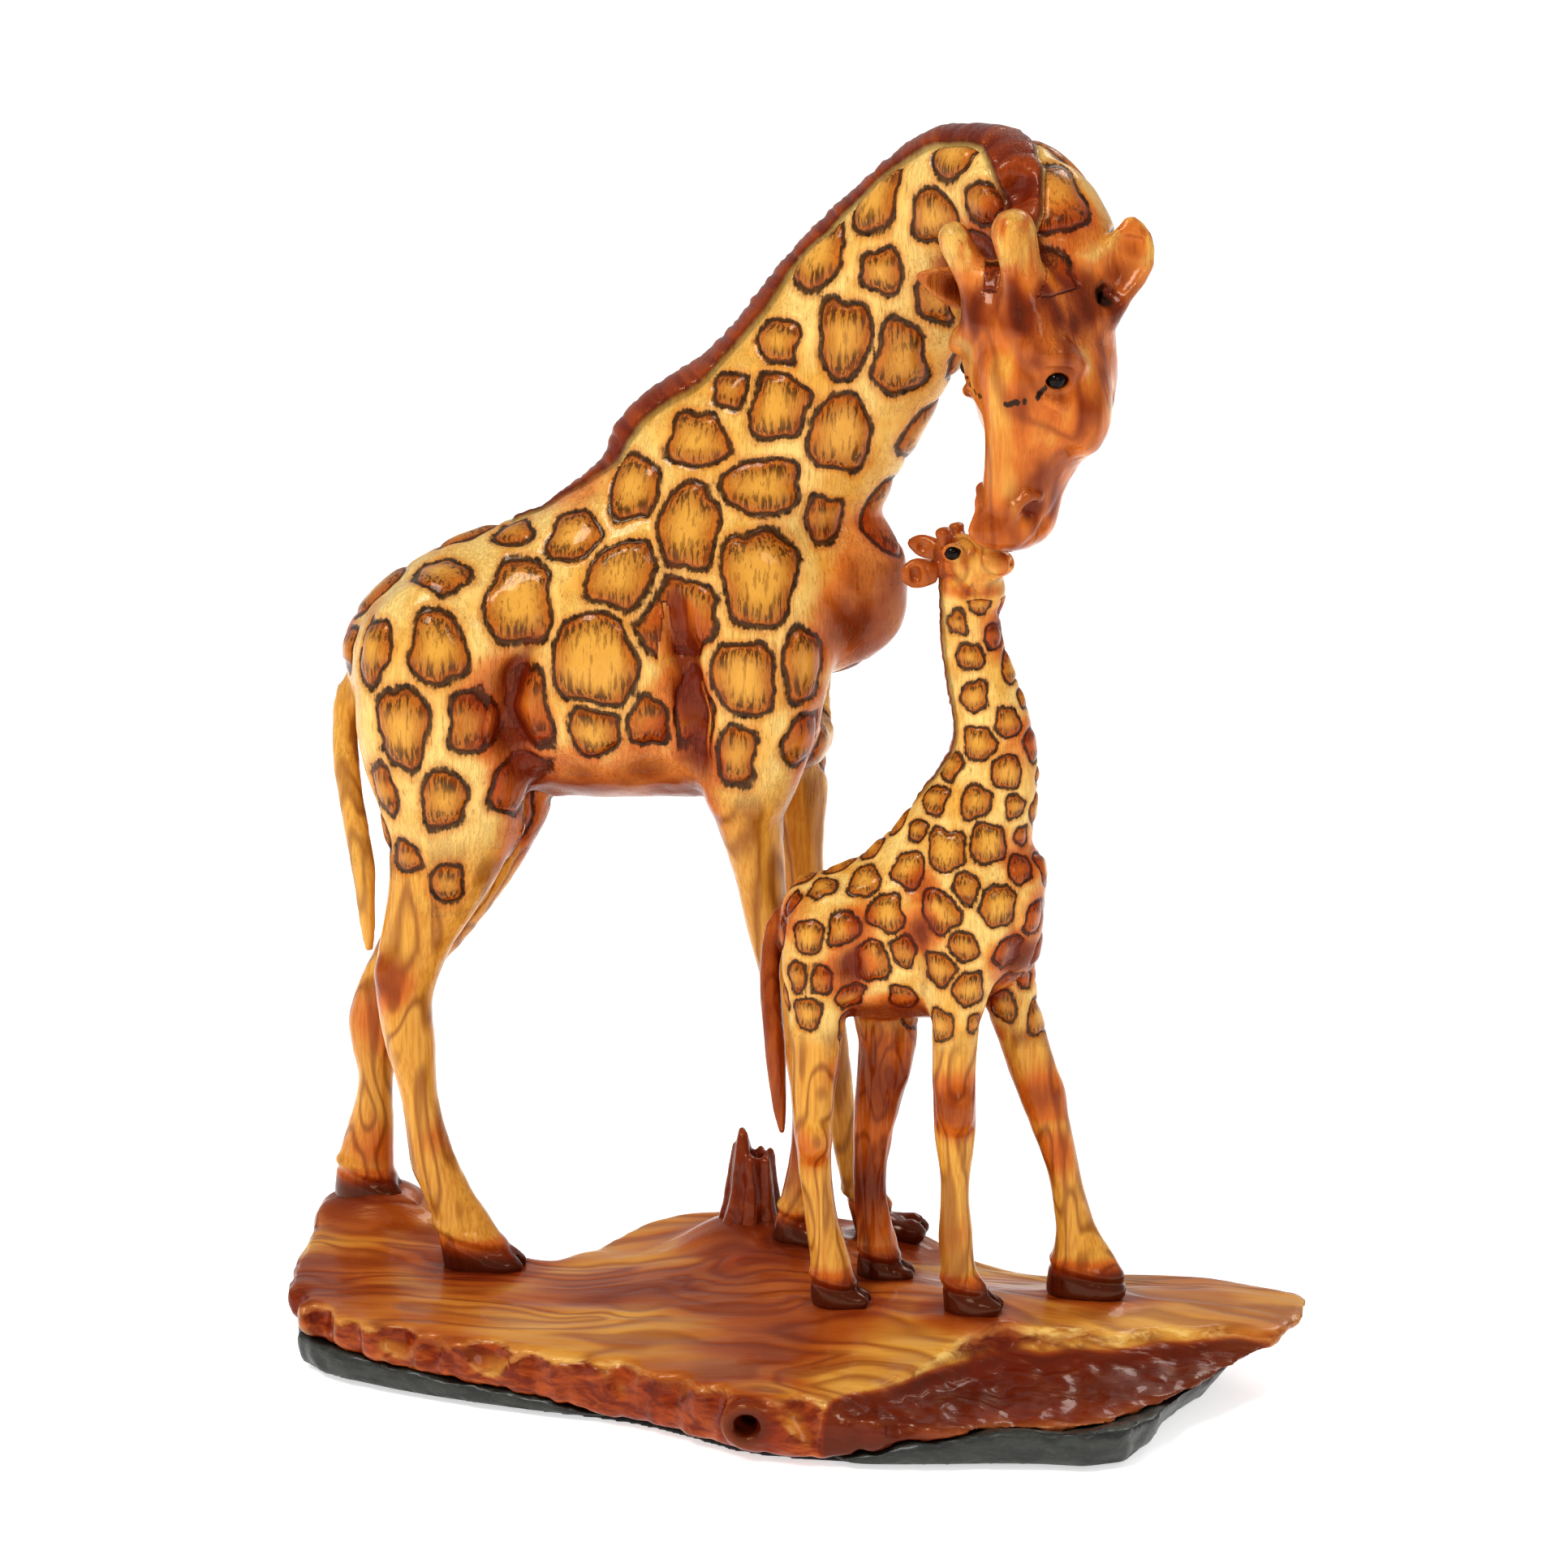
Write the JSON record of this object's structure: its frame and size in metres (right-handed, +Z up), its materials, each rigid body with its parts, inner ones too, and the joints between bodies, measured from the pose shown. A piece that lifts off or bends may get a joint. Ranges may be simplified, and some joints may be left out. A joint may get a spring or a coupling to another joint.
{
  "type": "carved giraffe statue",
  "caption": "Free-standing carved wooden giraffe and calf touching muzzles on a live-edge slab, with pegged legs, lacquered spots and a felt-padded foot.",
  "frame": {"origin": "on the ground under the middle of the slab, on the face of the felt pad", "axes": "+X is the way the mother walks, +Y is her left side, +Z is up"},
  "size_m": [0.1943, 0.0904, 0.2349],
  "materials": {
    "hide_wood": "gloss lacquer over engraved and stained spots",
    "leg_wood": "gloss lacquer over long grain, stained dark at the hooves",
    "horn_wood": "gloss lacquer, pale knobs",
    "ear_wood": "gloss lacquer, red-brown stain",
    "tail_wood": "gloss lacquer, red-brown stain",
    "eye_lacquer": "high gloss",
    "slab_wood": "gloss lacquer, red-brown edge",
    "stump_wood": "gloss lacquer, broken top",
    "bark": "rough, satin",
    "felt": "matt felt",
    "dowel_wood": "raw"
  },
  "bodies": {
    "root": {"base_slab": "slab_wood", "bark_sole": "bark", "felt_pad": "felt", "stump": "stump_wood", "stump_peg": "dowel_wood", "mother_body": "hide_wood", "mother_head": "hide_wood", "mother_neck_dowel": "dowel_wood", "mother_ear_left": "ear_wood", "mother_ear_right": "ear_wood", "mother_horn_left": "horn_wood", "mother_horn_right": "horn_wood", "mother_eyes": "eye_lacquer", "mother_tail": "tail_wood", "mother_leg_front_left": "leg_wood", "mother_leg_front_right": "leg_wood", "mother_leg_hind_left": "leg_wood", "mother_leg_hind_right": "leg_wood", "mother_hip_dowels": "dowel_wood", "mother_hoof_pegs": "dowel_wood", "calf_body": "hide_wood", "calf_head": "hide_wood", "calf_neck_dowel": "dowel_wood", "calf_ear_left": "ear_wood", "calf_ear_right": "ear_wood", "calf_horn_left": "horn_wood", "calf_horn_right": "horn_wood", "calf_eyes": "eye_lacquer", "calf_tail": "tail_wood", "calf_leg_front_left": "leg_wood", "calf_leg_front_right": "leg_wood", "calf_leg_hind_left": "leg_wood", "calf_leg_hind_right": "leg_wood", "calf_hip_dowels": "dowel_wood", "calf_hoof_pegs": "dowel_wood"}
  },
  "joints": []
}
